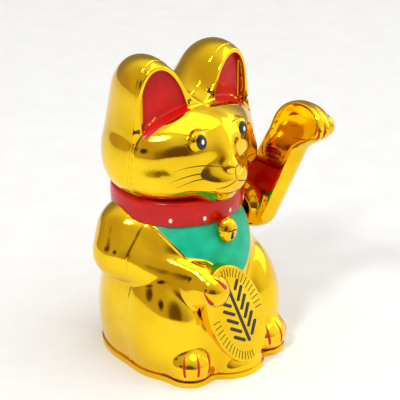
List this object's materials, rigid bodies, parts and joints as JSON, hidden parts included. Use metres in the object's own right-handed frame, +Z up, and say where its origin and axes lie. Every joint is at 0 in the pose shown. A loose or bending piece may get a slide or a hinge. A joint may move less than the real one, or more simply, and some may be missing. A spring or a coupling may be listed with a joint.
{
  "type": "beckoning cat figurine",
  "caption": "Seated gold-plated plastic cat figurine with a collar, bib and oval plaque; its raised arm swings on a battery-driven pendulum inside.",
  "frame": {"origin": "on the table plane, at the underside of the base plate, straight below the middle of the collar", "axes": "+Z up, the cat looks along -Y, its raised left arm is on the +X side"},
  "size_m": [0.0959, 0.0831, 0.1385],
  "materials": {
    "gold_plating": "polished",
    "black_plastic": "satin",
    "white_plastic": "satin",
    "steel": "satin",
    "cell_jacket": "gloss",
    "copper_wire": "gloss",
    "board": "satin",
    "red_lead": "satin",
    "black_lead": "satin",
    "magnet_ferrite": "matte",
    "red_paint": "gloss",
    "green_paint": "satin",
    "black_paint": "gloss",
    "white_paint": "gloss"
  },
  "bodies": {
    "cat": {"front_shell": "gold_plating", "rear_shell": "gold_plating", "base_plate": "gold_plating", "aa_cell": "cell_jacket", "positive_contact": "steel", "negative_spring_contact": "steel", "movement_chassis": "black_plastic", "circuit_board": "board", "coil_bobbin": "black_plastic", "coil_winding": "copper_wire", "coil_core": "steel", "drive_transistor": "black_plastic", "capacitor": "cell_jacket", "positive_lead": "red_lead", "negative_lead": "black_lead", "switch_housing": "steel", "chassis_screw_1": "steel", "chassis_screw_2": "steel", "base_screw_1": "steel", "base_screw_2": "steel", "base_screw_3": "steel", "base_screw_4": "steel"},
    "swing_arm": {"arm_inner_half": "gold_plating", "arm_outer_half": "gold_plating", "axle": "steel", "pendulum_lever": "white_plastic", "pendulum_weight": "steel", "magnet": "magnet_ferrite"},
    "door": {"battery_door": "black_plastic"},
    "knob": {"switch_knob": "black_plastic"}
  },
  "joints": [
    {"name": "arm_swing", "type": "hinge", "parent": "cat", "child": "swing_arm", "pos_m": [0.03, -0.0085, 0.058], "axis": [1, 0, 0], "range_deg": [-15, 18]},
    {"name": "battery_door_hinge", "type": "hinge", "parent": "cat", "child": "door", "pos_m": [-0.027, -0.012, 0.0012], "axis": [0, 1, 0], "range_deg": [0, 80]},
    {"name": "power_switch_slide", "type": "slide", "parent": "cat", "child": "knob", "axis": [1, 0, 0], "range_m": [0, 0.002]}
  ]
}
